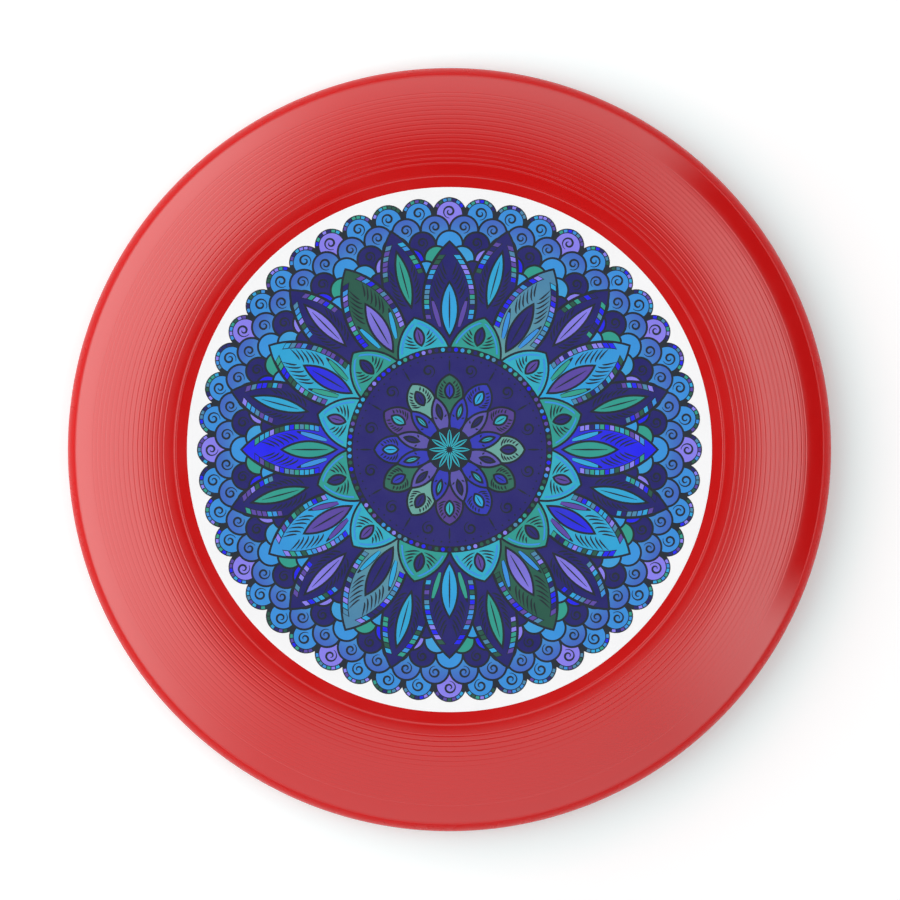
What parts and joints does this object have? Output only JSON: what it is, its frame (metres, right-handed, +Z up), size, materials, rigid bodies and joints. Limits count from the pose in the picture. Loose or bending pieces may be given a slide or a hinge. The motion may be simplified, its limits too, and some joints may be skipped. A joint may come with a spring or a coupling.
{
  "type": "flying disc",
  "caption": "Round recreational flying disc with a flat crown, a finely grooved shoulder, a rounded lip and rim, open underneath, and a round printed rosette in blues and violet on white.",
  "frame": {"origin": "on the disc's axis, at the bottom of its box: the plane on which the foot of the rim rests", "axes": "+Z up along the disc's axis, through the printed crown; X and Y across the disc, +X along the middle of one printed petal"},
  "size_m": [0.25, 0.25, 0.0267],
  "materials": {
    "red_plastic": "moulded polyethylene with a satin gloss and fine turned flow rings",
    "white_print": "opaque white print film, semi-matt",
    "dark_ink": "near-black blue ink, semi-matt",
    "navy_print": "navy ink, semi-matt",
    "royal_blue_print": "royal blue ink, semi-matt",
    "mid_blue_print": "mid blue ink, semi-matt",
    "sky_blue_print": "sky blue ink, semi-matt",
    "cyan_print": "cyan ink, semi-matt",
    "teal_print": "teal ink, semi-matt",
    "slate_print": "slate blue-green ink, semi-matt",
    "green_print": "dark green ink, semi-matt",
    "violet_print": "violet ink, semi-matt",
    "purple_print": "purple ink, semi-matt",
    "dark_line_print": "near-black blue ink drawn in fine lines, semi-matt"
  },
  "bodies": {
    "root": {"disc_moulding": "red_plastic", "white_base_print": "white_print", "dark_ground_ink": "dark_ink", "navy_ink": "navy_print", "royal_blue_ink": "royal_blue_print", "mid_blue_ink": "mid_blue_print", "sky_blue_ink": "sky_blue_print", "cyan_ink": "cyan_print", "teal_ink": "teal_print", "slate_ink": "slate_print", "green_ink": "green_print", "violet_ink": "violet_print", "purple_ink": "purple_print", "dark_line_ink": "dark_line_print"}
  },
  "joints": []
}
